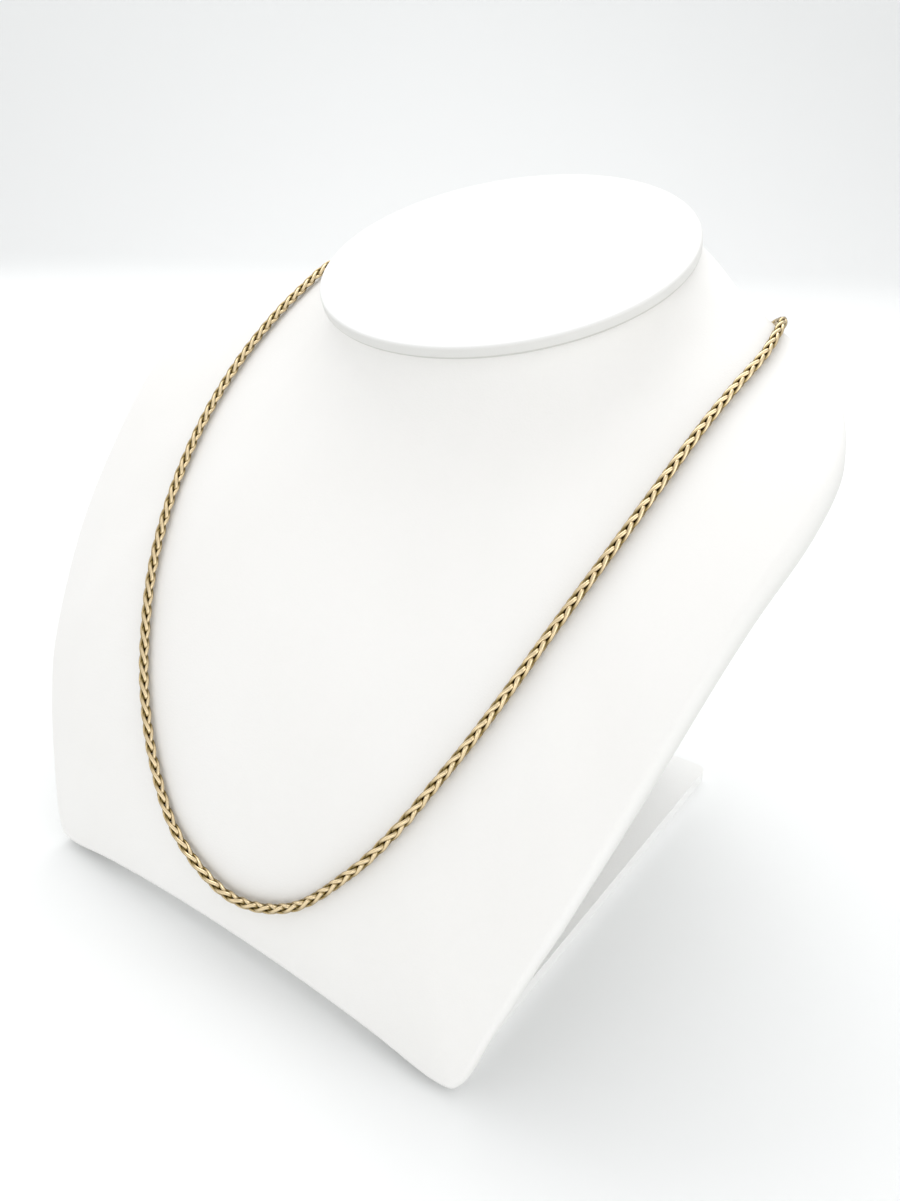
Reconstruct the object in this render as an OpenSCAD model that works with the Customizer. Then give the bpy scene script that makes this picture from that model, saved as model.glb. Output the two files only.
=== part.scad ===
// Wheat chain on a plain display bust.
// The origin is the middle of the underside, where it stands. Z is up and -Y is the front.
// The bust is a bent sheet that grows into a neck. It is made of ribs: each rib runs from the top of
// the neck down to the outline, and the outline goes once round the whole form.

/* [Bust] */
// Width across the shoulders
bust_w = 202; // [180:1:220]
// Depth from the front edge to the back
bust_d = 143; // [135:1:150]
// Height of the shoulders
bust_h = 146; // [138:1:154]
// Thickness of the moulded wall
wall = 5; // [4:0.5:6]
// Radius of the turned edge
edge_r = 3.5; // [2:0.5:3.5]

/* [Neck] */
// Width of the oval plate on the neck
neck_w = 103; // [94:1:110]
// Depth of the oval plate on the neck
neck_d = 97; // [90:1:104]
// Distance from the front edge to the middle of the plate
neck_back = 111; // [105:1:117]
// Height of the middle of the plate's top
neck_z = 159; // [152:1:166]
// Forward tilt of the plate in degrees
neck_tilt = 21.5; // [16:0.5:26]
// Length of neck over which it spreads into the chest
neck_root = 30; // [24:1:36]
// Thickness of the plate
plate_t = 3.5; // [2:0.5:5]
// How far the plate stands out past the neck
plate_rim = 3; // [1:0.5:5]

/* [Base board] */
// Width of the board
board_w = 134; // [120:1:136]
// Thickness of the board
board_t = 4; // [3:0.5:6]
// How far the board shows behind the bust
board_lip = 1.5; // [0.5:0.5:4]
// Radius of the board's corners
board_r = 3; // [1:0.5:8]

/* [Chain] */
// Width across the links
chain_w = 2.7; // [2:0.1:3.5]

/* [Clasp] */
// Length of the barrel clasp
clasp_l = 13; // [10:0.5:16]
// Diameter of the barrel clasp
clasp_d = 4.2; // [3.6:0.1:5]

/* [Hidden] */

// Gap between glued pieces
seam = 0.3;
// Gap between the gold and the bust
rest_gap = 0.4;
// Gap between the chain's end and the clasp
end_gap = 0.1;

// Half of the outline, from the middle of the front round the wearer's left side to the middle of
// the back, a row for each rib. The columns are
// x as a share of half the width, y as a share of the depth from the front edge,
// z as a share of the shoulder height, 1 where the edge stands on the board,
// the angle on the neck's oval where the rib starts,
// how far the wall goes back for each unit of height at the edge,
// the share of the neck's root that the rib keeps,
// and how far the rib spreads at its root for each unit down.
OUTLINE = [
    [0.000, -0.010, 0.042, 0, -90, 0.08, 1.00, 0.25],
    [0.240, -0.010, 0.038, 0, -83, 0.08, 1.00, 0.25],
    [0.460, -0.010, 0.026, 0, -75, 0.07, 0.97, 0.25],
    [0.640, -0.010, 0.010, 0, -67, 0.04, 0.93, 0.25],
    [0.700, -0.002, 0.030, 0, -60, 0.04, 0.90, 0.25],
    [0.745, 0.023, 0.130, 0, -53, 0.12, 0.83, 0.25],
    [0.797, 0.060, 0.250, 0, -46, 0.25, 0.77, 0.25],
    [0.850, 0.115, 0.370, 0, -39, 0.40, 0.70, 0.25],
    [0.910, 0.230, 0.550, 0, -32, 0.69, 0.60, 0.25],
    [0.955, 0.360, 0.700, 0, -24, 1.10, 0.50, 0.25],
    [0.998, 0.485, 0.810, 0, -16, 1.55, 0.43, 0.25],
    [1.000, 0.600, 0.885, 0, -8, 1.90, 0.40, 0.40],
    [0.945, 0.715, 0.935, 0, 1, 1.80, 0.35, 0.80],
    [0.845, 0.825, 0.960, 0, 12, 0.70, 0.30, 1.30],
    [0.725, 0.925, 0.935, 0, 25, -0.20, 0.35, 1.30],
    [0.605, 1.000, 0.820, 1, 38, 0.10, 0.50, 0.90],
    [0.520, 1.030, 0.630, 1, 50, 0.10, 0.73, 0.50],
    [0.460, 1.030, 0.390, 1, 60, 0.05, 0.87, 0.25],
    [0.420, 1.010, 0.160, 1, 68, 0.00, 0.93, 0.25],
    [0.380, 0.990, 0.000, 1, 75, 0.00, 0.97, 0.25],
    [0.200, 0.990, 0.000, 1, 83, 0.00, 1.00, 0.25],
    [0.000, 0.990, 0.000, 1, 90, 0.00, 1.00, 0.25]
];

// The chain's route from one end of the clasp round the front to the other.
// A row holds a rib's number and how far down it the chain lies, from 0 at the neck to 1 at the edge.
ROUTE = [
    [19.6, 0.420], [18.3, 0.437], [17.2, 0.496], [16.3, 0.580], [15.6, 0.660], [15.0, 0.725],
    [14.5, 0.768], [14.0, 0.785], [13.5, 0.758], [13.0, 0.706], [12.4, 0.648], [11.5, 0.600],
    [10.4, 0.582], [9.5, 0.595], [8.7, 0.620], [8.0, 0.640], [7.3, 0.652], [6.6, 0.665],
    [5.8, 0.679], [4.9, 0.686], [3.8, 0.692], [2.7, 0.744], [1.9, 0.820], [1.0, 0.901],
    [0.1, 0.934], [-0.8, 0.897], [-1.6, 0.820], [-2.5, 0.732], [-3.9, 0.664], [-5.2, 0.656],
    [-6.3, 0.645], [-7.3, 0.634], [-8.1, 0.617], [-9.0, 0.583], [-10.0, 0.526], [-11.2, 0.487],
    [-12.4, 0.510], [-13.4, 0.548], [-14.3, 0.560], [-15.1, 0.552], [-15.9, 0.530], [-17.1, 0.477],
    [-18.4, 0.437], [-19.7, 0.423]
];
clasp_rib = 21;
clasp_down = 0.43;

// How far a rib goes straight on from the outline, as a share of its length
edge_reach = 0.48;
// Shares of a rib where the wall has a ring of points
RIB_STEPS = [0, 0.07, 0.14, 0.21, 0.28, 0.35, 0.42, 0.49, 0.56, 0.63, 0.70, 0.77, 0.84, 0.9];
// Angles round the turned edge
EDGE_TURNS = [0, 30, 60, 90];
ribs_per_row = 2;
chain_sides = 8;
rings_per_leg = 2;
plate_sides = 64;
plate_r = 0.35 * plate_t;
round_sides = 32;
clasp_neck_r = 1.6;
clasp_neck_l = 1.4;
clasp_slope_l = 1.6;

half_rows = len(OUTLINE) - 1;
rows = 2 * half_rows;
front_y = -bust_d / 2;
board_top = board_t + seam;
neck_mid = [0, front_y + neck_back, neck_z];
neck_up = [0, -sin(neck_tilt), cos(neck_tilt)];
neck_rear = [0, cos(neck_tilt), sin(neck_tilt)];
board_front = front_y + OUTLINE[0][1] * bust_d + wall + OUTLINE[1][5] * 2 * board_t + seam;
board_back = front_y + OUTLINE[half_rows][1] * bust_d + board_lip;

function unit(v) = v / norm(v);

// A curve through b and c that also looks at a and d
function through(a, b, c, d, t) =
    0.5 * (2 * b + (c - a) * t + (2 * a - 5 * b + 4 * c - d) * t * t
    + (3 * b - a - 3 * c + d) * t * t * t);

// Rib number i of the whole outline, with the second half mirrored from the first
function turn_of(i) = floor(i / rows);
function around(i) = i - rows * turn_of(i);
function mirrored(row) =
    [-row[0], row[1], row[2], row[3], 180 - row[4], row[5], row[6], row[7]];
function plain_row(i) = i <= half_rows ? OUTLINE[i] : mirrored(OUTLINE[rows - i]);
function outline_row(i) = plain_row(around(i)) + [0, 0, 0, 0, 360 * turn_of(i), 0, 0, 0];
function rib(u) =
    let(i = floor(u))
    through(outline_row(i - 1), outline_row(i), outline_row(i + 1), outline_row(i + 2), u - i);

// A point on the neck's oval, and the way out from it
function neck_out(angle) = cos(angle) * [1, 0, 0] + sin(angle) * neck_rear;
function neck_oval(angle, grow, down) =
    neck_mid - neck_up * down
    + (neck_w / 2 - plate_rim + grow) * cos(angle) * [1, 0, 0]
    + (neck_d / 2 - plate_rim + grow) * sin(angle) * neck_rear;

// The four points that bend a rib: neck, root, handle at the edge, edge
function rib_edge(r) =
    [r[0] * bust_w / 2, front_y + r[1] * bust_d, max(0, r[2]) * bust_h + r[3] * board_top];
function rib_curve(u) =
    let(
        r = rib(u),
        top = neck_oval(r[4], 0, plate_t + seam),
        edge = rib_edge(r),
        root = top + neck_root * r[6] * (r[7] * neck_out(r[4]) - neck_up),
        rise = top - edge,
        lie = unit([rise[0], r[5] * rise[2], rise[2]])
    )
    [top, root, edge + edge_reach * norm(rise) * lie, edge];
function bezier(p, t) =
    p[0] * pow(1 - t, 3) + 3 * p[1] * t * pow(1 - t, 2) + 3 * p[2] * t * t * (1 - t) + p[3] * pow(t, 3);

// A point of the bust's face, and the way out from it there
function face_at(u, t) = bezier(rib_curve(u), t);
function out_at(u, t) =
    let(step = 0.01)
    unit(cross(
        face_at(u, t + step) - face_at(u, t - step),
        face_at(u + step, t) - face_at(u - step, t)
    ));

// One rib's closed section: down the face, round the turned edge and up the inside
function edge_turn(u, a) =
    let(
        curve = rib_curve(u),
        speed = 3 * norm(curve[3] - curve[2]),
        t = 1 - edge_r * (1 - sin(a)) / speed
    )
    bezier(curve, t) - out_at(u, t) * edge_r * (1 - cos(a));
function wall_section(u) =
    let(
        neck_angle = rib(u)[4],
        down = RIB_STEPS,
        up = [for (i = [len(down) - 1 : -1 : 1]) down[i]]
    )
    concat(
        [for (t = down) face_at(u, t)],
        [for (a = EDGE_TURNS) edge_turn(u, a)],
        [face_at(u, 1) - out_at(u, 1) * wall],
        [for (t = up) face_at(u, t) - out_at(u, t) * wall],
        [neck_oval(neck_angle, -wall, plate_t + seam)]
    );

// Skins over a list of rings with the same number of points
function ring_wall(count, size, closed) = [
    for (i = [0 : count - (closed ? 1 : 2)], k = [0 : size - 1], side = [0, 1])
        let(
            j = (i + 1) % count,
            n = (k + 1) % size,
            a = i * size + k,
            b = i * size + n,
            c = j * size + n,
            d = j * size + k
        )
        side == 0 ? [a, b, c] : [a, c, d]
];
function fan(first, size, flip) = [
    for (k = [1 : size - 2])
        flip ? [first, first + k + 1, first + k] : [first, first + k, first + k + 1]
];
function flat_list(rings) = [for (ring = rings, p = ring) p];
module ring_body(rings) {
    count = len(rings);
    size = len(rings[0]);
    faces = concat(
        ring_wall(count, size, false),
        fan(0, size, true),
        fan((count - 1) * size, size, false)
    );
    polyhedron(flat_list(rings), faces);
}
module ring_loop(rings) {
    polyhedron(flat_list(rings), ring_wall(len(rings), len(rings[0]), true));
}

// A point of the chain's middle line, with the way out from the bust
function seat(place, lift) =
    let(out = out_at(place[0], place[1]))
    [face_at(place[0], place[1]) + out * lift, out];
clasp_seat = seat([clasp_rib, clasp_down], clasp_d / 2 + rest_gap);
function clasp_end(way) =
    [clasp_seat[0] + [way * (clasp_l / 2 + end_gap), 0, 0], clasp_seat[1]];
chain_points = concat(
    [clasp_end(1)],
    [for (place = ROUTE) seat(place, chain_w / 2 + rest_gap)],
    [clasp_end(-1)]
);
chain_legs = len(chain_points) - 1;
function chain_knot(i) = chain_points[max(0, min(chain_legs, i))];
function chain_at(s) =
    let(i = min(floor(s), chain_legs - 1))
    [for (k = [0, 1])
        through(chain_knot(i - 1)[k], chain_knot(i)[k], chain_knot(i + 1)[k], chain_knot(i + 2)[k], s - i)];
function chain_way(s) =
    let(step = 0.05)
    s < step || s > chain_legs - step
        ? [1, 0, 0]
        : unit(chain_at(s + step)[0] - chain_at(s - step)[0]);
function chain_ring(s) =
    let(
        here = chain_at(s),
        way = chain_way(s),
        side = unit(cross(way, here[1])),
        out = cross(side, way)
    )
    [for (k = [0 : chain_sides - 1])
        let(a = (k + 0.5) * 360 / chain_sides)
        here[0] + chain_w / 2 * (cos(a) * side + sin(a) * out)];

module chain() {
    color("goldenrod")
    ring_body([for (k = [0 : chain_legs * rings_per_leg]) chain_ring(k / rings_per_leg)]);
}

module clasp() {
    half = clasp_l / 2;
    barrel = half - clasp_neck_l - clasp_slope_l;
    color("goldenrod")
    translate(clasp_seat[0])
    rotate([0, 90, 0])
    rotate_extrude($fn = round_sides)
    polygon([
        [0, -half],
        [clasp_neck_r, -half],
        [clasp_neck_r, clasp_neck_l - half],
        [clasp_d / 2, -barrel],
        [clasp_d / 2, barrel],
        [clasp_neck_r, half - clasp_neck_l],
        [clasp_neck_r, half],
        [0, half]
    ]);
}

module bust() {
    color("whitesmoke")
    ring_loop([for (i = [0 : rows * ribs_per_row - 1]) wall_section(i / ribs_per_row)]);
}

module neck_plate() {
    rim_turns = [for (a = [0, 45, 90]) [plate_r * (sin(a) - 1), plate_r * (1 - cos(a))]];
    low = [for (turn = rim_turns) [turn[0], plate_t - turn[1]]];
    high = [for (i = [len(rim_turns) - 1 : -1 : 0]) rim_turns[i]];
    color("white")
    ring_body([
        for (level = concat(low, high))
            [for (k = [0 : plate_sides - 1]) neck_oval(k * 360 / plate_sides, plate_rim + level[0], level[1])]
    ]);
}

module base_board() {
    straight_w = board_w - 2 * board_r;
    straight_d = board_back - board_front - 2 * board_r;
    color("whitesmoke")
    translate([0, (board_front + board_back) / 2, 0])
    linear_extrude(board_t)
    union() {
        square([board_w, straight_d], center = true);
        square([straight_w, straight_d + 2 * board_r], center = true);
        for (x = [-1, 1], y = [-1, 1])
            translate([x * straight_w / 2, y * straight_d / 2])
            circle(board_r, $fn = round_sides);
    }
}

chain();
clasp();
bust();
neck_plate();
base_board();
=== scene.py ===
# %% [markdown]
# # A wheat chain on a neck bust
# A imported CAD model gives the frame: a bust of plain white leatherette, the oval board that closes
# its neck, the flat board it stands on, and a gold wheat chain with a clasp at the back. The CAD
# chain is only a smooth rod, so the links are made here, and every surface gets its finish.
# All lengths are in metres, and the front of the bust looks along -Y.

# %% Load the frame
import math
import bpy
import numpy as np
from mathutils import Matrix, Vector


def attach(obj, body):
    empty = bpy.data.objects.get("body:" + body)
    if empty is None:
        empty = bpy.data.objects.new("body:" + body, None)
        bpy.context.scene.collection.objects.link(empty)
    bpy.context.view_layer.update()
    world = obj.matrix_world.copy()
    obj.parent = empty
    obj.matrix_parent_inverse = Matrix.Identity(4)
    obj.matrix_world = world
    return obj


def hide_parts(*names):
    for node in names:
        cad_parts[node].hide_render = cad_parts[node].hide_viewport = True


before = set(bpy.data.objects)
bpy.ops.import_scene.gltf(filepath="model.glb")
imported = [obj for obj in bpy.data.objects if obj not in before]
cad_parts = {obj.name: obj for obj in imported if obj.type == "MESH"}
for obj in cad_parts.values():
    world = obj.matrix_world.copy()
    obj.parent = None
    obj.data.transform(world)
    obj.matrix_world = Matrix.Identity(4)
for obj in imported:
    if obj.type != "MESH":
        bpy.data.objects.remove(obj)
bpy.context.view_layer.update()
MM = 0.001

# %% [markdown]
# ## Camera
# The photo was taken from above and from the wearer's left of the bust, with a phone's wide lens
# held close. The oval plate, the board's corner and the panel's edges fix the place and the focal
# length. A camera could be aimed with a constraint, but three angles say the same with no helper:
# how far it turns, how far it looks down, and how far it leans.

# %% Camera
FOCAL_PIXELS = 959.7
FRAME_PIXELS = 1201
SENSOR_MM = 36
camera_place = Vector((145.0, -187.1, 186.6)) * MM
turn, down, lean = (math.radians(a) for a in (-35.02, 26.0, -1.70))

facing = Vector((math.sin(turn), math.cos(turn), 0))
level = Vector((math.cos(turn), -math.sin(turn), 0))
forward = math.cos(down) * facing - math.sin(down) * Vector((0, 0, 1))
below = forward.cross(level)
right = math.cos(lean) * level + math.sin(lean) * below
under = -math.sin(lean) * level + math.cos(lean) * below

lens = bpy.data.cameras.new("camera")
lens.sensor_fit = "VERTICAL"
lens.sensor_height = SENSOR_MM
lens.lens = FOCAL_PIXELS / FRAME_PIXELS * SENSOR_MM
lens.clip_start = 0.01
camera = bpy.data.objects.new("camera", lens)
bpy.context.scene.collection.objects.link(camera)
axes = Matrix((right, -under, -forward)).transposed()
camera.matrix_world = Matrix.Translation(camera_place) @ axes.to_4x4()
bpy.context.scene.camera = camera
print("lens", round(lens.lens, 2), "mm")

# %% [markdown]
# ## The bust's form
# The real bust is moulded: a neck that spreads into a chest, two shoulders and a rear panel, all
# one wall. The CAD model draws it with ribs that run from the neck down to the outline. The same
# table and the same curves are used here, so the cover can be much smoother than the CAD facets
# and still lie where they are. Shaping by hand in sculpt mode would lose that.

# %% Sizes of the bust
bust_w, bust_d, bust_h = 202 * MM, 143 * MM, 146 * MM
wall, edge_r = 5 * MM, 3.5 * MM
neck_w, neck_d, neck_back, neck_z = 103 * MM, 97 * MM, 111 * MM, 159 * MM
neck_tilt, neck_root = math.radians(21.5), 30 * MM
plate_t, plate_rim = 3.5 * MM, 3 * MM
board_t, seam = 4 * MM, 0.3 * MM
edge_reach = 0.48

# Half of the outline. The columns are x, y and z as shares of half the width, the depth and the
# height, 1 where the edge stands on the board, the angle on the neck, the lean of the wall at the
# edge, the share of the neck's root, and how far the rib spreads there for each unit down.
OUTLINE = [
    (0.000, -0.010, 0.042, 0, -90, 0.08, 1.00, 0.25),
    (0.240, -0.010, 0.038, 0, -83, 0.08, 1.00, 0.25),
    (0.460, -0.010, 0.026, 0, -75, 0.07, 0.97, 0.25),
    (0.640, -0.010, 0.010, 0, -67, 0.04, 0.93, 0.25),
    (0.700, -0.002, 0.030, 0, -60, 0.04, 0.90, 0.25),
    (0.745, 0.023, 0.130, 0, -53, 0.12, 0.83, 0.25),
    (0.797, 0.060, 0.250, 0, -46, 0.25, 0.77, 0.25),
    (0.850, 0.115, 0.370, 0, -39, 0.40, 0.70, 0.25),
    (0.910, 0.230, 0.550, 0, -32, 0.69, 0.60, 0.25),
    (0.955, 0.360, 0.700, 0, -24, 1.10, 0.50, 0.25),
    (0.998, 0.485, 0.810, 0, -16, 1.55, 0.43, 0.25),
    (1.000, 0.600, 0.885, 0, -8, 1.90, 0.40, 0.40),
    (0.945, 0.715, 0.935, 0, 1, 1.80, 0.35, 0.80),
    (0.845, 0.825, 0.960, 0, 12, 0.70, 0.30, 1.30),
    (0.725, 0.925, 0.935, 0, 25, -0.20, 0.35, 1.30),
    (0.605, 1.000, 0.820, 1, 38, 0.10, 0.50, 0.90),
    (0.520, 1.030, 0.630, 1, 50, 0.10, 0.73, 0.50),
    (0.460, 1.030, 0.390, 1, 60, 0.05, 0.87, 0.25),
    (0.420, 1.010, 0.160, 1, 68, 0.00, 0.93, 0.25),
    (0.380, 0.990, 0.000, 1, 75, 0.00, 0.97, 0.25),
    (0.200, 0.990, 0.000, 1, 83, 0.00, 1.00, 0.25),
    (0.000, 0.990, 0.000, 1, 90, 0.00, 1.00, 0.25),
]
mirrored = [(-x, y, z, stands, 180 - angle, *rest)
            for x, y, z, stands, angle, *rest in OUTLINE[-2:0:-1]]
whole_outline = np.array(OUTLINE + mirrored)
rows = len(whole_outline)
print("ribs in the outline", rows)

# %% A curve through points
def through(a, b, c, d, t):
    """A smooth curve through b and c that also looks at a and d."""
    t = t[..., None]
    return 0.5 * (2 * b + (c - a) * t + (2 * a - 5 * b + 4 * c - d) * t ** 2
                  + (3 * b - a - 3 * c + d) * t ** 3)


def outline_row(i):
    """Row number i, counted on past the end, with the neck's angle counted on too."""
    row = whole_outline[i % rows].copy()
    row[..., 4] += 360 * (i // rows)
    return row


def rib(u):
    """The outline's row at any share between two of its rows."""
    i = np.floor(u).astype(int)
    return through(*(outline_row(i + step) for step in (-1, 0, 1, 2)), u - i)


# %% Points of the bust's face
ACROSS = np.array([1.0, 0, 0])
NECK_UP = np.array([0, -math.sin(neck_tilt), math.cos(neck_tilt)])
NECK_REAR = np.array([0, math.cos(neck_tilt), math.sin(neck_tilt)])
NECK_MID = np.array([0, neck_back - bust_d / 2, neck_z])


def neck_oval(degrees, grow, depth):
    """A point on the oval of the neck, grown outwards and set down below the plate's top."""
    a = np.radians(degrees)[..., None]
    return (NECK_MID - NECK_UP * depth
            + (neck_w / 2 - plate_rim + grow) * np.cos(a) * ACROSS
            + (neck_d / 2 - plate_rim + grow) * np.sin(a) * NECK_REAR)


def unit(v):
    return v / np.linalg.norm(v, axis=-1, keepdims=True)


def rib_curve(u):
    """The four points that bend a rib: neck, root, handle at the edge, edge."""
    r = rib(u)
    top = neck_oval(r[..., 4], 0, plate_t + seam)
    edge = np.stack([
        r[..., 0] * bust_w / 2,
        (r[..., 1] - 0.5) * bust_d,
        np.maximum(r[..., 2], 0) * bust_h + r[..., 3] * (board_t + seam),
    ], axis=-1)
    a = np.radians(r[..., 4])[..., None]
    spread = np.cos(a) * ACROSS + np.sin(a) * NECK_REAR
    root = top + neck_root * r[..., 6:7] * (r[..., 7:8] * spread - NECK_UP)
    rise = top - edge
    lie = unit(np.stack([rise[..., 0], r[..., 5] * rise[..., 2], rise[..., 2]], axis=-1))
    handle = edge + edge_reach * np.linalg.norm(rise, axis=-1, keepdims=True) * lie
    return top, root, handle, edge


def face_at(u, t):
    """The point on rib u at share t of the way from the neck to the edge."""
    u, t = np.broadcast_arrays(np.asarray(u, float), np.asarray(t, float))
    a, b, c, d = rib_curve(u)
    t = t[..., None]
    return a * (1 - t) ** 3 + 3 * b * t * (1 - t) ** 2 + 3 * c * t ** 2 * (1 - t) + d * t ** 3


def out_at(u, t, step=0.01):
    """The way straight out of the wall there."""
    return unit(np.cross(face_at(u, t + step) - face_at(u, t - step),
                         face_at(u + step, t) - face_at(u - step, t)))


print("middle of the chest", np.round(face_at(0.0, 0.6), 4))

# %% [markdown]
# ## A skin over rings of points
# The cover, the neck board, the clasp and the links are all rings of points joined by four-sided
# faces. One helper turns such a grid into a mesh, so each piece only has to say where its points
# are. from_pydata would also work point by point, but whole arrays are quicker for many links.

# %% Skin helper
def grid_faces(count, size, wrap_rings, wrap_points):
    """Four-sided faces between neighbouring rings, as rows of point numbers."""
    i = np.arange(count if wrap_rings else count - 1)
    k = np.arange(size if wrap_points else size - 1)
    i, k = (a.ravel() for a in np.meshgrid(i, k, indexing="ij"))
    j, n = (i + 1) % count, (k + 1) % size
    return np.stack([i * size + k, i * size + n, j * size + n, j * size + k], axis=1)


def new_piece(name, points, faces, caps=(), sharp_degrees=40):
    """A smooth-shaded mesh object from arrays of points, square faces and end caps."""
    mesh = bpy.data.meshes.new(name)
    mesh.from_pydata(points.tolist(), [], faces.tolist() + [list(cap) for cap in caps])
    mesh.update()
    mesh.shade_smooth()
    mesh.set_sharp_from_angle(angle=math.radians(sharp_degrees))
    piece = bpy.data.objects.new(name, mesh)
    bpy.context.scene.collection.objects.link(piece)
    print(name, len(mesh.polygons), "faces, spans",
          np.round(np.ptp(points, axis=0) / MM, 1), "mm")
    return piece


def point_values(piece, name, values):
    """Keeps one number for each point of the mesh, for a material to read."""
    store = piece.data.attributes.new(name, "FLOAT", "POINT")
    store.data.foreach_set("value", np.asarray(values, dtype=np.float32).ravel())


# %% [markdown]
# ## The bust's cover
# Leatherette is glued over the moulded wall and turned round its edge, so the edge is a soft
# round lip and the back of the wall is plain. Each ring of the mesh is one rib: down the face,
# round the lip and up the inside. A Solidify modifier would give the thickness but not the lip.
# The turned lip is painted greyer as shade, rising from the face round to the back, and the back of
# the wall takes the same grey in full, so each point keeps that share of painted shade for the
# material to read.

# %% Bust cover
RIBS_PER_ROW = 8
DOWN_STEPS = 56
LIP_STEPS = 9
FACE_END = 0.9
LEAST_STEP = 0.005
u = np.arange(rows * RIBS_PER_ROW)[:, None] / RIBS_PER_ROW
down_shares = np.linspace(0, FACE_END, DOWN_STEPS)[None]

_, _, handle, edge = rib_curve(u[:, 0])
edge_speed = 3 * np.linalg.norm(edge - handle, axis=-1)[:, None]
lip_angles = np.radians(np.linspace(0, 90, LIP_STEPS))[None]
lip_shares = 1 - edge_r * (1 - np.sin(lip_angles)) / edge_speed
lip_shares = np.maximum(lip_shares, FACE_END + LEAST_STEP)

face = face_at(u, down_shares)
lip = (face_at(u, lip_shares)
       - out_at(u, lip_shares) * edge_r * (1 - np.cos(lip_angles))[..., None])
inner_edge = face_at(u, 1.0) - out_at(u, 1.0) * wall
inside = (face_at(u, down_shares) - out_at(u, down_shares) * wall)[:, :0:-1]
inner_top = neck_oval(rib(u)[..., 4], -wall, plate_t + seam)
sections = np.concatenate([face, lip, inner_edge, inside, inner_top], axis=1)

size = sections.shape[1]
bust_cover = new_piece("bust_cover", sections.reshape(-1, 3), grid_faces(len(u), size, True, True))
# Painted shade: none on the face, growing round the lip, full on the back of the wall.
section_shade = np.concatenate([np.zeros(DOWN_STEPS), 1 - np.cos(lip_angles[0]),
                               np.ones(size - DOWN_STEPS - LIP_STEPS)])
point_values(bust_cover, "painted_edge_shade", np.tile(section_shade, len(u)))
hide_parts("bust")
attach(bust_cover, "root")

# %% [markdown]
# ## The neck board
# The oval board on the neck is a stiff card with the same leatherette drawn over it, so its rim
# is round and its top is flat. It is turned from a short profile, as a lathe would, but on an
# oval. Each pair of the profile says how far the oval grows and how deep it lies below the top.
# The rim's side is painted greyer as shade, and its lower rounding and underside darker still as the
# shadow under the rim, so the profile also says how grey the skin is there.

# %% Neck board
RIM_POINTS = 200
RIM_STEPS = 7
FLAT_STEPS = (-30 * MM, -15 * MM, -6 * MM)
UNDERSIDE_IN = -4 * MM
rim_r, shade_band = 0.9 * MM, 0.5 * MM
rim_turns = np.radians(np.linspace(0, 90, RIM_STEPS))
rim_top = [(rim_r * (math.sin(a) - 1), rim_r * (1 - math.cos(a))) for a in rim_turns]
rim_low = [(grow, plate_t - depth) for grow, depth in reversed(rim_top)]
profile = [(grow, 0.0) for grow in FLAT_STEPS] + rim_top + rim_low + [(UNDERSIDE_IN, plate_t)]
around = np.linspace(0, 360, RIM_POINTS, endpoint=False)
rings = np.stack([neck_oval(around, plate_rim + grow, depth) for grow, depth in profile])
last = (len(profile) - 1) * RIM_POINTS
caps = [range(RIM_POINTS), range(last + RIM_POINTS - 1, last - 1, -1)]
neck_board = new_piece("neck_board", rings.reshape(-1, 3),
                       grid_faces(len(profile), RIM_POINTS, False, True)[:, ::-1], caps, 50)
# Painted shade round the rim's outer side, and painted shadow on its lower rounding and underside,
# where the two shares add.
side_share = np.clip([1 + grow / shade_band for grow, depth in profile], 0, 1)
under_share = np.array([depth > plate_t - rim_r for grow, depth in profile])
point_values(neck_board, "painted_edge_shade", np.repeat((side_share + under_share) / 2, RIM_POINTS))
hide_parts("neck_plate")
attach(neck_board, "root")

# %% [markdown]
# ## Where the chain lies
# The chain rests on the cover all the way round, so its middle line is the cover's own surface,
# lifted by half the chain's width. Its places are pairs: a rib's number, and how far down that
# rib. The links must be spaced by length along the line, so the line is measured in fine steps.

# %% The chain's middle line
chain_w = 2.7 * MM
rest_gap = 0.2 * MM
clasp_rib, clasp_down = 21, 0.43
clasp_l, clasp_d, end_gap = 13 * MM, 4.2 * MM, 0.1 * MM
clasp_lift = 0.4 * MM

ROUTE = [
    (19.6, 0.420), (18.3, 0.437), (17.2, 0.496), (16.3, 0.580), (15.6, 0.660), (15.0, 0.725),
    (14.5, 0.768), (14.0, 0.785), (13.5, 0.758), (13.0, 0.706), (12.4, 0.648), (11.5, 0.600),
    (10.4, 0.582), (9.5, 0.595), (8.7, 0.620), (8.0, 0.640), (7.3, 0.652), (6.6, 0.665),
    (5.8, 0.679), (4.9, 0.686), (3.8, 0.692), (2.7, 0.744), (1.9, 0.820), (1.0, 0.901),
    (0.1, 0.934), (-0.8, 0.897), (-1.6, 0.820), (-2.5, 0.732), (-3.9, 0.664), (-5.2, 0.656),
    (-6.3, 0.645), (-7.3, 0.634), (-8.1, 0.617), (-9.0, 0.583), (-10.0, 0.526), (-11.2, 0.487),
    (-12.4, 0.510), (-13.4, 0.548), (-14.3, 0.560), (-15.1, 0.552), (-15.9, 0.530), (-17.1, 0.477),
    (-18.4, 0.437), (-19.7, 0.423),
]
route = np.array(ROUTE)
route_out = out_at(route[:, 0], route[:, 1])
route_points = face_at(route[:, 0], route[:, 1]) + route_out * (chain_w / 2 + rest_gap)
clasp_out = out_at(np.array(float(clasp_rib)), np.array(clasp_down))
clasp_place = (face_at(float(clasp_rib), clasp_down)
               + clasp_out * (clasp_d / 2 + clasp_lift))
half_clasp = ACROSS * (clasp_l / 2 + end_gap)
knots = np.vstack([clasp_place + half_clasp, route_points, clasp_place - half_clasp])
knot_out = np.vstack([clasp_out, route_out, clasp_out])

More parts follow.
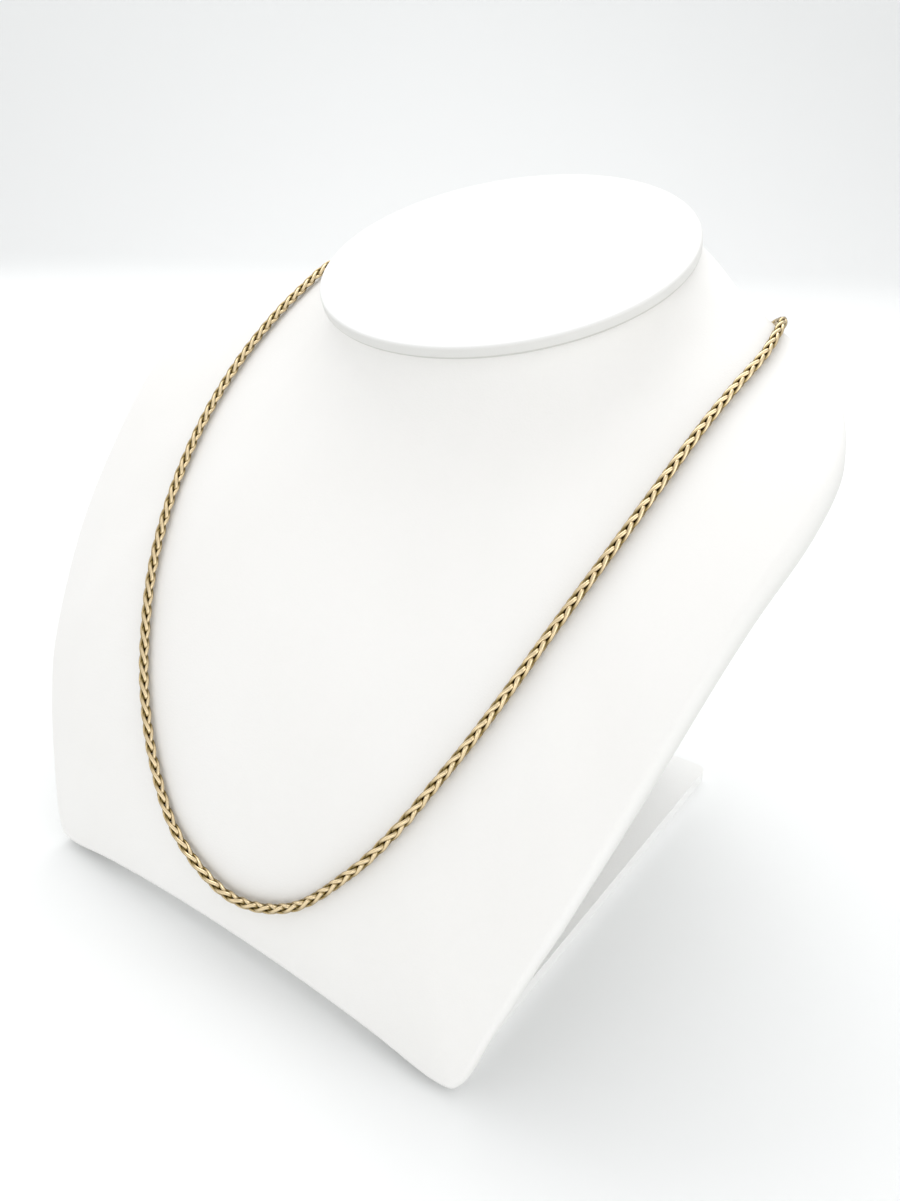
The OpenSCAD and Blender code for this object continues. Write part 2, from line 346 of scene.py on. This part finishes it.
STEPS = 60
legs = len(knots) - 1
walk = np.arange(legs * STEPS + 1) / STEPS
leg = np.minimum(walk.astype(int), legs - 1)
ends = [np.clip(leg + step, 0, legs) for step in (-1, 0, 1, 2)]
line = through(*(knots[i] for i in ends), walk - leg)
line_out = unit(through(*(knot_out[i] for i in ends), walk - leg))
length = np.concatenate([[0], np.cumsum(np.linalg.norm(np.diff(line, axis=0), axis=1))])
print("chain length", round(length[-1] / MM, 1), "mm, with the clasp",
      round((length[-1] + clasp_l + 2 * end_gap) / MM, 1))


def along_line(s, values):
    """Values kept at the line's points, read at lengths s."""
    return np.stack([np.interp(s, length, values[:, k]) for k in range(3)], axis=-1)


def line_at(s, step=0.5 * MM):
    """The middle line at length s, with the ways to its side and out of the cover."""
    way = unit(along_line(s + step, line) - along_line(s - step, line))
    side = unit(np.cross(way, along_line(s, line_out)))
    return along_line(s, line), side, np.cross(side, way)


# %% [markdown]
# ## Wheat links
# A wheat chain, also called spiga, is plaited from long oval loops of round wire, each twisted a
# quarter turn: the bend at one end lies across the bend at the other, and the two long wires lie
# over opposite corners of the chain. The next loop stands half a step on and is twisted the other
# way, over the other two corners. So on one face the strands of both corners run together in
# turn, which is the plaited V. One strand is a short table, and the rest of the loop follows by
# symmetry. A curve swept by hand would drift; the table repeats exactly.

# %% Shape of one link
link_pitch = 4.48 * MM
wire_r = 0.50 * MM
outer_r = chain_w / 2 - wire_r
LINK_POINTS = 48
WIRE_SIDES = 7

# One strand over a corner. The columns are the degrees round the chain from the corner, the way
# along it as a share of the pitch, and the distance from the middle as a share of the outer radius.
STRAND = [
    (44, 0.56, 0.62),
    (40, 0.44, 1.00),
    (24, 0.24, 1.05),
    (3, 0.02, 1.01),
    (-18, -0.19, 0.91),
    (-36, -0.38, 0.77),
    (-42, -0.54, 0.50),
]
NEAR_BEND = (0, 0.63, 0)
FAR_BEND = (0, -0.62, 0)

strand = np.array(STRAND, float)
link = np.vstack([NEAR_BEND, strand, FAR_BEND, strand[::-1] + (180, 0, 0)])
link_a = np.radians(link[:, 0])
link_r = link[:, 2] * outer_r
link_knots = np.stack([
    link[:, 1] * link_pitch, link_r * np.cos(link_a), link_r * np.sin(link_a),
], axis=-1)
walk_link = np.arange(LINK_POINTS) * len(link_knots) / LINK_POINTS
knot = walk_link.astype(int)
loop = through(*(link_knots[(knot + step) % len(link_knots)] for step in (-1, 0, 1, 2)),
               walk_link - knot)
mirror_loop = loop * (1, 1, -1)
print("one link is", round(np.ptp(loop[:, 0]) / MM, 2), "mm long")

# %% Wheat links
# Roll of the chain about its own line, in degrees, at lengths along it from the clasp
ROLL = [(0, 27), (220, 27), (240, 46), (255, 23), (270, -10), (285, -48), (300, -72), (460, -76),
        (500, -95), (600, -95)]
roll_s, roll_a = np.array(ROLL, float).T

ahead_x, back_x = loop[:, 0].max() + wire_r, loop[:, 0].min() - wire_r
link_count = round((length[-1] - ahead_x + back_x) / (link_pitch / 2)) + 1
number = np.arange(link_count)[:, None]
hub_s = np.linspace(length[-1] + back_x, ahead_x, link_count)[:, None]
odd = (number % 2 == 1)[..., None]
links = np.where(odd, mirror_loop, loop)
s = hub_s - links[..., 0]
roll = np.radians(np.interp(s / MM, roll_s, roll_a)) + math.pi / 4 + number % 2 * math.pi / 2
place, side, up = line_at(s)
sideways = links[..., 1] * np.cos(roll) - links[..., 2] * np.sin(roll)
upwards = links[..., 1] * np.sin(roll) + links[..., 2] * np.cos(roll)
offset = sideways[..., None] * side + upwards[..., None] * up
centre = place + offset
spoke = unit(centre - along_line(hub_s, line))

along = unit(np.roll(centre, -1, axis=1) - np.roll(centre, 1, axis=1))
wire_out = unit(spoke - (spoke * along).sum(-1, keepdims=True) * along)
wire_side = np.cross(along, wire_out)
section = np.linspace(0, 2 * math.pi, WIRE_SIDES, endpoint=False)
wire = (centre[:, :, None]
        + wire_r * (np.cos(section)[:, None] * wire_out[:, :, None]
                    + np.sin(section)[:, None] * wire_side[:, :, None]))

link_size = LINK_POINTS * WIRE_SIDES
one_link = grid_faces(LINK_POINTS, WIRE_SIDES, True, True)
all_faces = (one_link + (number * link_size)[..., None]).reshape(-1, 4)
wheat_chain = new_piece("wheat_chain", wire.reshape(-1, 3), all_faces, sharp_degrees=180)
reach_out = np.linalg.norm(wire - place[:, :, None], axis=-1) / (chain_w / 2)
point_values(wheat_chain, "reach_out", reach_out)
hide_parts("chain")
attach(wheat_chain, "root")
print("links", link_count, "triangles", len(all_faces) * 2)

# %% [markdown]
# ## The clasp
# A barrel clasp sits at the nape, out of the photo's sight. It is turned from round bar: a
# barrel with soft shoulders, a fine groove where its halves meet, and a collar at each end that
# takes the last link.

# %% Clasp
CLASP_SIDES = 40
half = clasp_l / 2
# From each end inwards, then across the groove: the radius, and the way along from the end or
# from the middle, in mm
END_TURNS = [(0.2, 0), (1.3, 0), (1.5, 0.2), (1.5, 1.3), (1.9, 1.9), (2.05, 2.6), (2.1, 3.3)]
GROOVE = [(2.1, -0.30), (1.95, -0.16), (1.95, 0.16), (2.1, 0.30)]
clasp_profile = ([(r, x * MM - half) for r, x in END_TURNS]
                 + [(r, x * MM) for r, x in GROOVE]
                 + [(r, half - x * MM) for r, x in reversed(END_TURNS)])
spin = np.linspace(0, 2 * math.pi, CLASP_SIDES, endpoint=False)
turned = np.array([
    [clasp_place + np.array([x, r * MM * math.cos(a), r * MM * math.sin(a)]) for a in spin]
    for r, x in clasp_profile
])
last = (len(clasp_profile) - 1) * CLASP_SIDES
barrel_clasp = new_piece("barrel_clasp", turned.reshape(-1, 3),
                         grid_faces(len(clasp_profile), CLASP_SIDES, False, True),
                         [range(CLASP_SIDES - 1, -1, -1), range(last, last + CLASP_SIDES)], 35)
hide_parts("clasp")
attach(barrel_clasp, "root")

# %% [markdown]
# ## The base board
# The board keeps its CAD shape. Covered card has no sharp edge, so a Bevel modifier softens it.

# %% Base board
base_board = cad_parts["base_board"]
soft_edge = base_board.modifiers.new("soft_edge", "BEVEL")
soft_edge.width = 0.7 * MM
soft_edge.segments = 3
soft_edge.limit_method = "ANGLE"
base_board.data.shade_smooth()
base_board.data.set_sharp_from_angle(angle=math.radians(30))
print("board", [round(v / MM, 1) for v in base_board.dimensions])

# %% [markdown]
# ## Leatherette grain
# Leatherette is a vinyl skin pressed with a fine pebble grain, under half a millimetre across, with
# a few softer dips from the foam below. The three leatherette parts use the same grain at their own
# strength, so it is a node group: one Voronoi layer for the pebbles, a finer noise over them and a
# slow noise.

# %% Grain group
def group_socket(group, name, way, kind="NodeSocketFloat", value=None):
    socket = group.interface.new_socket(name=name, in_out=way, socket_type=kind)
    if value is not None:
        socket.default_value = value


def add_node(tree, kind, place, **settings):
    made = tree.nodes.new(kind)
    made.location = place
    for name, value in settings.items():
        setattr(made, name, value)
    return made


def add_math(tree, operation, place, a=None, b=None):
    made = add_node(tree, "ShaderNodeMath", place, operation=operation)
    for socket, value in zip(made.inputs, (a, b)):
        if isinstance(value, (int, float)):
            socket.default_value = value
        elif value is not None:
            tree.links.new(value, socket)
    return made.outputs[0]


grain_group = bpy.data.node_groups.new("leatherette_grain", "ShaderNodeTree")
group_socket(grain_group, "Pebble size", "INPUT", value=0.5 * MM)
group_socket(grain_group, "Height", "OUTPUT")
group_socket(grain_group, "Valley", "OUTPUT")

tree = grain_group
entry = add_node(tree, "NodeGroupInput", (-900, 0))
leave = add_node(tree, "NodeGroupOutput", (700, 0))
where = add_node(tree, "ShaderNodeTexCoord", (-900, 300))
per_metre = add_math(tree, "DIVIDE", (-700, 0), 1.0, entry.outputs["Pebble size"])
pebble = add_node(tree, "ShaderNodeTexVoronoi", (-450, 200), feature="F1")
fine = add_node(tree, "ShaderNodeTexNoise", (-450, -120))
fine.inputs["Detail"].default_value = 3
drift = add_node(tree, "ShaderNodeTexNoise", (-450, -400))
drift.inputs["Scale"].default_value = 90
for texture in (pebble, fine, drift):
    tree.links.new(where.outputs["Object"], texture.inputs["Vector"])
tree.links.new(per_metre, pebble.inputs["Scale"])
tree.links.new(add_math(tree, "MULTIPLY", (-650, -120), per_metre, 2.2), fine.inputs["Scale"])
rounded = add_math(tree, "SUBTRACT", (-200, 200), 1.0, pebble.outputs["Distance"])
speckled = add_math(tree, "MULTIPLY", (-200, -120), fine.outputs["Fac"], 0.35)
slow = add_math(tree, "MULTIPLY", (-200, -400), drift.outputs["Fac"], 0.6)
height = add_math(tree, "ADD", (50, 0), add_math(tree, "ADD", (0, 100), rounded, speckled), slow)
tree.links.new(height, leave.inputs["Height"])
tree.links.new(pebble.outputs["Distance"], leave.inputs["Valley"])
print("grain sockets", [item.name for item in tree.interface.items_tree])

# %% [markdown]
# ## Handling marks
# White leatherette is never one even white. It yellows a little, its tone drifts over several
# centimetres, and dust greys the valleys of the grain. The group mixes those into one colour.

# %% Tone group
tone_group = bpy.data.node_groups.new("soft_tone", "ShaderNodeTree")
group_socket(tone_group, "Clean", "INPUT", "NodeSocketColor", (0.9, 0.9, 0.9, 1))
group_socket(tone_group, "Worn", "INPUT", "NodeSocketColor", (0.8, 0.79, 0.76, 1))
group_socket(tone_group, "Valley", "INPUT", value=0.0)
group_socket(tone_group, "Amount", "INPUT", value=0.4)
group_socket(tone_group, "Colour", "OUTPUT", "NodeSocketColor")

tree = tone_group
entry = add_node(tree, "NodeGroupInput", (-900, 0))
leave = add_node(tree, "NodeGroupOutput", (600, 0))
where = add_node(tree, "ShaderNodeTexCoord", (-900, 300))
patches = add_node(tree, "ShaderNodeTexNoise", (-650, 250))
patches.inputs["Scale"].default_value = 22
patches.inputs["Detail"].default_value = 4
tree.links.new(where.outputs["Object"], patches.inputs["Vector"])
patchy = add_node(tree, "ShaderNodeMapRange", (-400, 250))
patchy.inputs["From Min"].default_value = 0.35
patchy.inputs["From Max"].default_value = 0.75
tree.links.new(patches.outputs["Fac"], patchy.inputs["Value"])
dusty = add_math(tree, "MULTIPLY", (-400, -50), entry.outputs["Valley"], 0.35)
both = add_math(tree, "ADD", (-150, 100), patchy.outputs["Result"], dusty)
share = add_math(tree, "MULTIPLY", (50, 100), both, entry.outputs["Amount"])
blend = add_node(tree, "ShaderNodeMix", (300, 0), data_type="RGBA")
tree.links.new(share, blend.inputs["Factor"])
tree.links.new(entry.outputs["Clean"], blend.inputs[6])
tree.links.new(entry.outputs["Worn"], blend.inputs[7])
tree.links.new(blend.outputs[2], leave.inputs["Colour"])
print("tone sockets", [item.name for item in tree.interface.items_tree])

# %% Leatherette materials
def new_material(name):
    made = bpy.data.materials.new(name)
    made.use_nodes = True
    shader = made.node_tree.nodes["Principled BSDF"]
    return made, made.node_tree, shader


def add_group(tree, group, place, **values):
    made = add_node(tree, "ShaderNodeGroup", place, node_tree=group)
    for name, value in values.items():
        made.inputs[name].default_value = value
    return made


def leatherette(name, clean, worn, roughness, grain_depth):
    """White vinyl leatherette: soft sheen, fine pebbles, a little drift in tone."""
    made, tree, shader = new_material(name)
    grain = add_group(tree, grain_group, (-700, -200))
    tone = add_group(tree, tone_group, (-400, 200), Clean=clean, Worn=worn, Amount=0.3)
    bump = add_node(tree, "ShaderNodeBump", (-400, -300))
    bump.inputs["Strength"].default_value = 0.5
    bump.inputs["Distance"].default_value = grain_depth
    tree.links.new(grain.outputs["Valley"], tone.inputs["Valley"])
    tree.links.new(grain.outputs["Height"], bump.inputs["Height"])
    tree.links.new(tone.outputs["Colour"], shader.inputs["Base Color"])
    tree.links.new(bump.outputs["Normal"], shader.inputs["Normal"])
    shader.inputs["Roughness"].default_value = roughness
    shader.inputs["Specular IOR Level"].default_value = 0.35
    return made


cover_white = leatherette("cover_white", (0.86, 0.855, 0.84, 1), (0.80, 0.79, 0.765, 1),
                          0.55, 0.03 * MM)
plate_white = leatherette("plate_white", (0.88, 0.88, 0.875, 1), (0.83, 0.83, 0.82, 1),
                          0.55, 0.02 * MM)
board_white = leatherette("board_white", (0.84, 0.84, 0.83, 1), (0.79, 0.79, 0.775, 1),
                          0.6, 0.03 * MM)


def shade_edges(material, grey):
    """Mixes in a grey tone as painted shade, as far as the share kept on the mesh says."""
    tree = material.node_tree
    shader = tree.nodes["Principled BSDF"]
    skin = shader.inputs["Base Color"].links[0].from_socket
    mark = add_node(tree, "ShaderNodeAttribute", (-400, 420), attribute_name="painted_edge_shade")
    blend = add_node(tree, "ShaderNodeMix", (-150, 300), data_type="RGBA")
    blend.inputs[7].default_value = grey
    tree.links.new(mark.outputs["Fac"], blend.inputs["Factor"])
    tree.links.new(skin, blend.inputs[6])
    tree.links.new(blend.outputs[2], shader.inputs["Base Color"])


# Painted shade: a light grey on the cover's lip and back, a darker grey on the neck board's rim and
# underside.
shade_edges(cover_white, (0.70, 0.70, 0.68, 1))
shade_edges(plate_white, (0.55, 0.55, 0.52, 1))


def dress(piece, material):
    piece.data.materials.clear()
    piece.data.materials.append(material)
    print(piece.name, "wears", material.name)


dress(bust_cover, cover_white)
dress(neck_board, plate_white)
for spot in base_board.material_slots:
    spot.material = board_white

# %% [markdown]
# ## Gold
# Fourteen carat gold is a pale warm yellow. Polished wire is bright where it stands out, and the
# gaps between the links are painted brown as shade, where the light comes back from gold only. The
# distance from the middle of the chain was kept on the mesh, so the colour darkens towards the
# middle as painted shade. A wire's flanks mirror those gaps, so the colour is also darkened where
# the surface turns away from the eye, as a painted reflection. A fine noise gives a faint bump for
# hair scratches and varies the roughness.

# %% Gold
gold, tree, shader = new_material("yellow_gold")
# Painted shade: the colour runs from dark brown deep in the chain to gold where the wire stands out.
reach = add_node(tree, "ShaderNodeAttribute", (-900, 200), attribute_name="reach_out")
raised = add_node(tree, "ShaderNodeMapRange", (-680, 200), interpolation_type="SMOOTHSTEP")
raised.inputs["From Min"].default_value = 0.62
raised.inputs["From Max"].default_value = 0.98
tree.links.new(reach.outputs["Fac"], raised.inputs["Value"])
colours = add_node(tree, "ShaderNodeMix", (-350, 200), data_type="RGBA")
colours.inputs[6].default_value = (0.20, 0.14, 0.04, 1)
colours.inputs[7].default_value = (0.82, 0.66, 0.415, 1)
# Painted reflection: the colour darkens towards the wire's flanks, as if they mirrored the dark
# gaps.
turned_away = add_node(tree, "ShaderNodeLayerWeight", (-900, 0))
turned_away.inputs["Blend"].default_value = 0.5
clear = add_node(tree, "ShaderNodeMapRange", (-680, -20))
clear.inputs["From Min"].default_value = 0.35
clear.inputs["From Max"].default_value = 0.95
clear.inputs["To Min"].default_value = 1.0
clear.inputs["To Max"].default_value = 0.25
tree.links.new(turned_away.outputs["Facing"], clear.inputs["Value"])
bright = add_math(tree, "MULTIPLY", (-500, 100), raised.outputs["Result"], clear.outputs["Result"])
tree.links.new(bright, colours.inputs["Factor"])
tree.links.new(colours.outputs[2], shader.inputs["Base Color"])
where = add_node(tree, "ShaderNodeTexCoord", (-1100, -200))
haze = add_node(tree, "ShaderNodeTexNoise", (-900, -200))
haze.inputs["Scale"].default_value = 1400
haze.inputs["Detail"].default_value = 4
tree.links.new(where.outputs["Object"], haze.inputs["Vector"])
dull = add_node(tree, "ShaderNodeMapRange", (-650, -200))
dull.inputs["To Min"].default_value = 0.16
dull.inputs["To Max"].default_value = 0.34
tree.links.new(haze.outputs["Fac"], dull.inputs["Value"])
tree.links.new(dull.outputs["Result"], shader.inputs["Roughness"])
scratches = add_node(tree, "ShaderNodeBump", (-350, -350))
scratches.inputs["Strength"].default_value = 0.15
scratches.inputs["Distance"].default_value = 0.01 * MM
tree.links.new(haze.outputs["Fac"], scratches.inputs["Height"])
tree.links.new(scratches.outputs["Normal"], shader.inputs["Normal"])
shader.inputs["Metallic"].default_value = 1.0
dress(wheat_chain, gold)
dress(barrel_clasp, gold)
point_values(barrel_clasp, "reach_out", np.ones(len(barrel_clasp.data.vertices)))

# %% [markdown]
# ## Floor and backdrop
# The bust stands on a plain white sweep: a flat floor that curves up into a wall behind it. One
# sheet does both, so there is no corner line, only the soft change of tone seen in the photo.

# %% Floor
BEND_STEPS = 16
floor_front, half_width = -2.5, 3.0
sweep_start, sweep_r, sweep_top = 1.3, 0.5, 1.6
bend = np.radians(np.linspace(0, 90, BEND_STEPS))
run = [(floor_front, 0.0)]
run += [(sweep_start + sweep_r * math.sin(a), sweep_r * (1 - math.cos(a))) for a in bend]
run += [(sweep_start + sweep_r, sweep_top)]
sheet = np.array([
    [list(facing * ahead + level * x + Vector((0, 0, z))) for x in (-half_width, half_width)]
    for ahead, z in run
])
floor = new_piece("floor", sheet.reshape(-1, 3), grid_faces(len(run), 2, False, False), (), 60)
paper, tree, shader = new_material("white_paper")
where = add_node(tree, "ShaderNodeTexCoord", (-700, 0))
fibres = add_node(tree, "ShaderNodeTexNoise", (-450, 0))
fibres.inputs["Scale"].default_value = 300
tree.links.new(where.outputs["Object"], fibres.inputs["Vector"])
paper_bump = add_node(tree, "ShaderNodeBump", (-200, -200))
paper_bump.inputs["Distance"].default_value = 0.02 * MM
tree.links.new(fibres.outputs["Fac"], paper_bump.inputs["Height"])
tree.links.new(paper_bump.outputs["Normal"], shader.inputs["Normal"])
shader.inputs["Base Color"].default_value = (0.86, 0.87, 0.87, 1)
shader.inputs["Roughness"].default_value = 0.7
dress(floor, paper)

# %% [markdown]
# ## Light
# The photo is high key: a white room lights everything from all round, so most of the light is
# the world's. Broad panels overhead and behind lift the plate and the floor, and a weak one to
# the left gives the shadow that falls to the right. Low ones in front and on both sides stand for
# bright walls: they reach the bust's turned edges and the neck under its plate, and hardly the
# floor. Their shares were chosen one lamp at a time against the photo's greys.

# %% Light
def soft_box(name, place, aim, width, height, watts):
    lamp = bpy.data.lights.new(name, "AREA")
    lamp.shape = "RECTANGLE"
    lamp.size, lamp.size_y = width, height
    lamp.energy = watts
    holder = bpy.data.objects.new(name, lamp)
    holder.location = place
    holder.rotation_euler = (Vector(aim) - Vector(place)).to_track_quat("-Z", "Y").to_euler()
    bpy.context.scene.collection.objects.link(holder)
    print(name, watts, "W")


middle, neck_height = (0, 0, 0.08), (0, 0, 0.15)
soft_box("key_panel", (-0.55, 0.25, 1.1), middle, 0.6, 0.6, 1.7)
soft_box("top_panel", (-0.35, 0.10, 1.3), middle, 1.4, 1.4, 2.6)
soft_box("rear_panel", (-0.3, 0.9, 1.2), middle, 1.2, 0.8, 6.0)
soft_box("front_low", (0.3, -2.2, 0.42), neck_height, 2.4, 0.6, 5.2)
soft_box("right_fill", (0.9, -0.2, 0.9), middle, 0.8, 0.8, 1.0)
soft_box("right_low", (1.0, 0.0, 0.28), middle, 1.0, 0.5, 1.8)
soft_box("left_low", (-1.1, -0.1, 0.30), middle, 1.0, 0.4, 0.9)

world = bpy.data.worlds.new("white_room")
bpy.context.scene.world = world
world.use_nodes = True
sky = world.node_tree.nodes["Background"]
sky.inputs["Color"].default_value = (1.0, 1.0, 1.0, 1)
sky.inputs["Strength"].default_value = 0.83

look = bpy.context.scene.view_settings
look.view_transform = "Standard"
look.exposure = 0.0
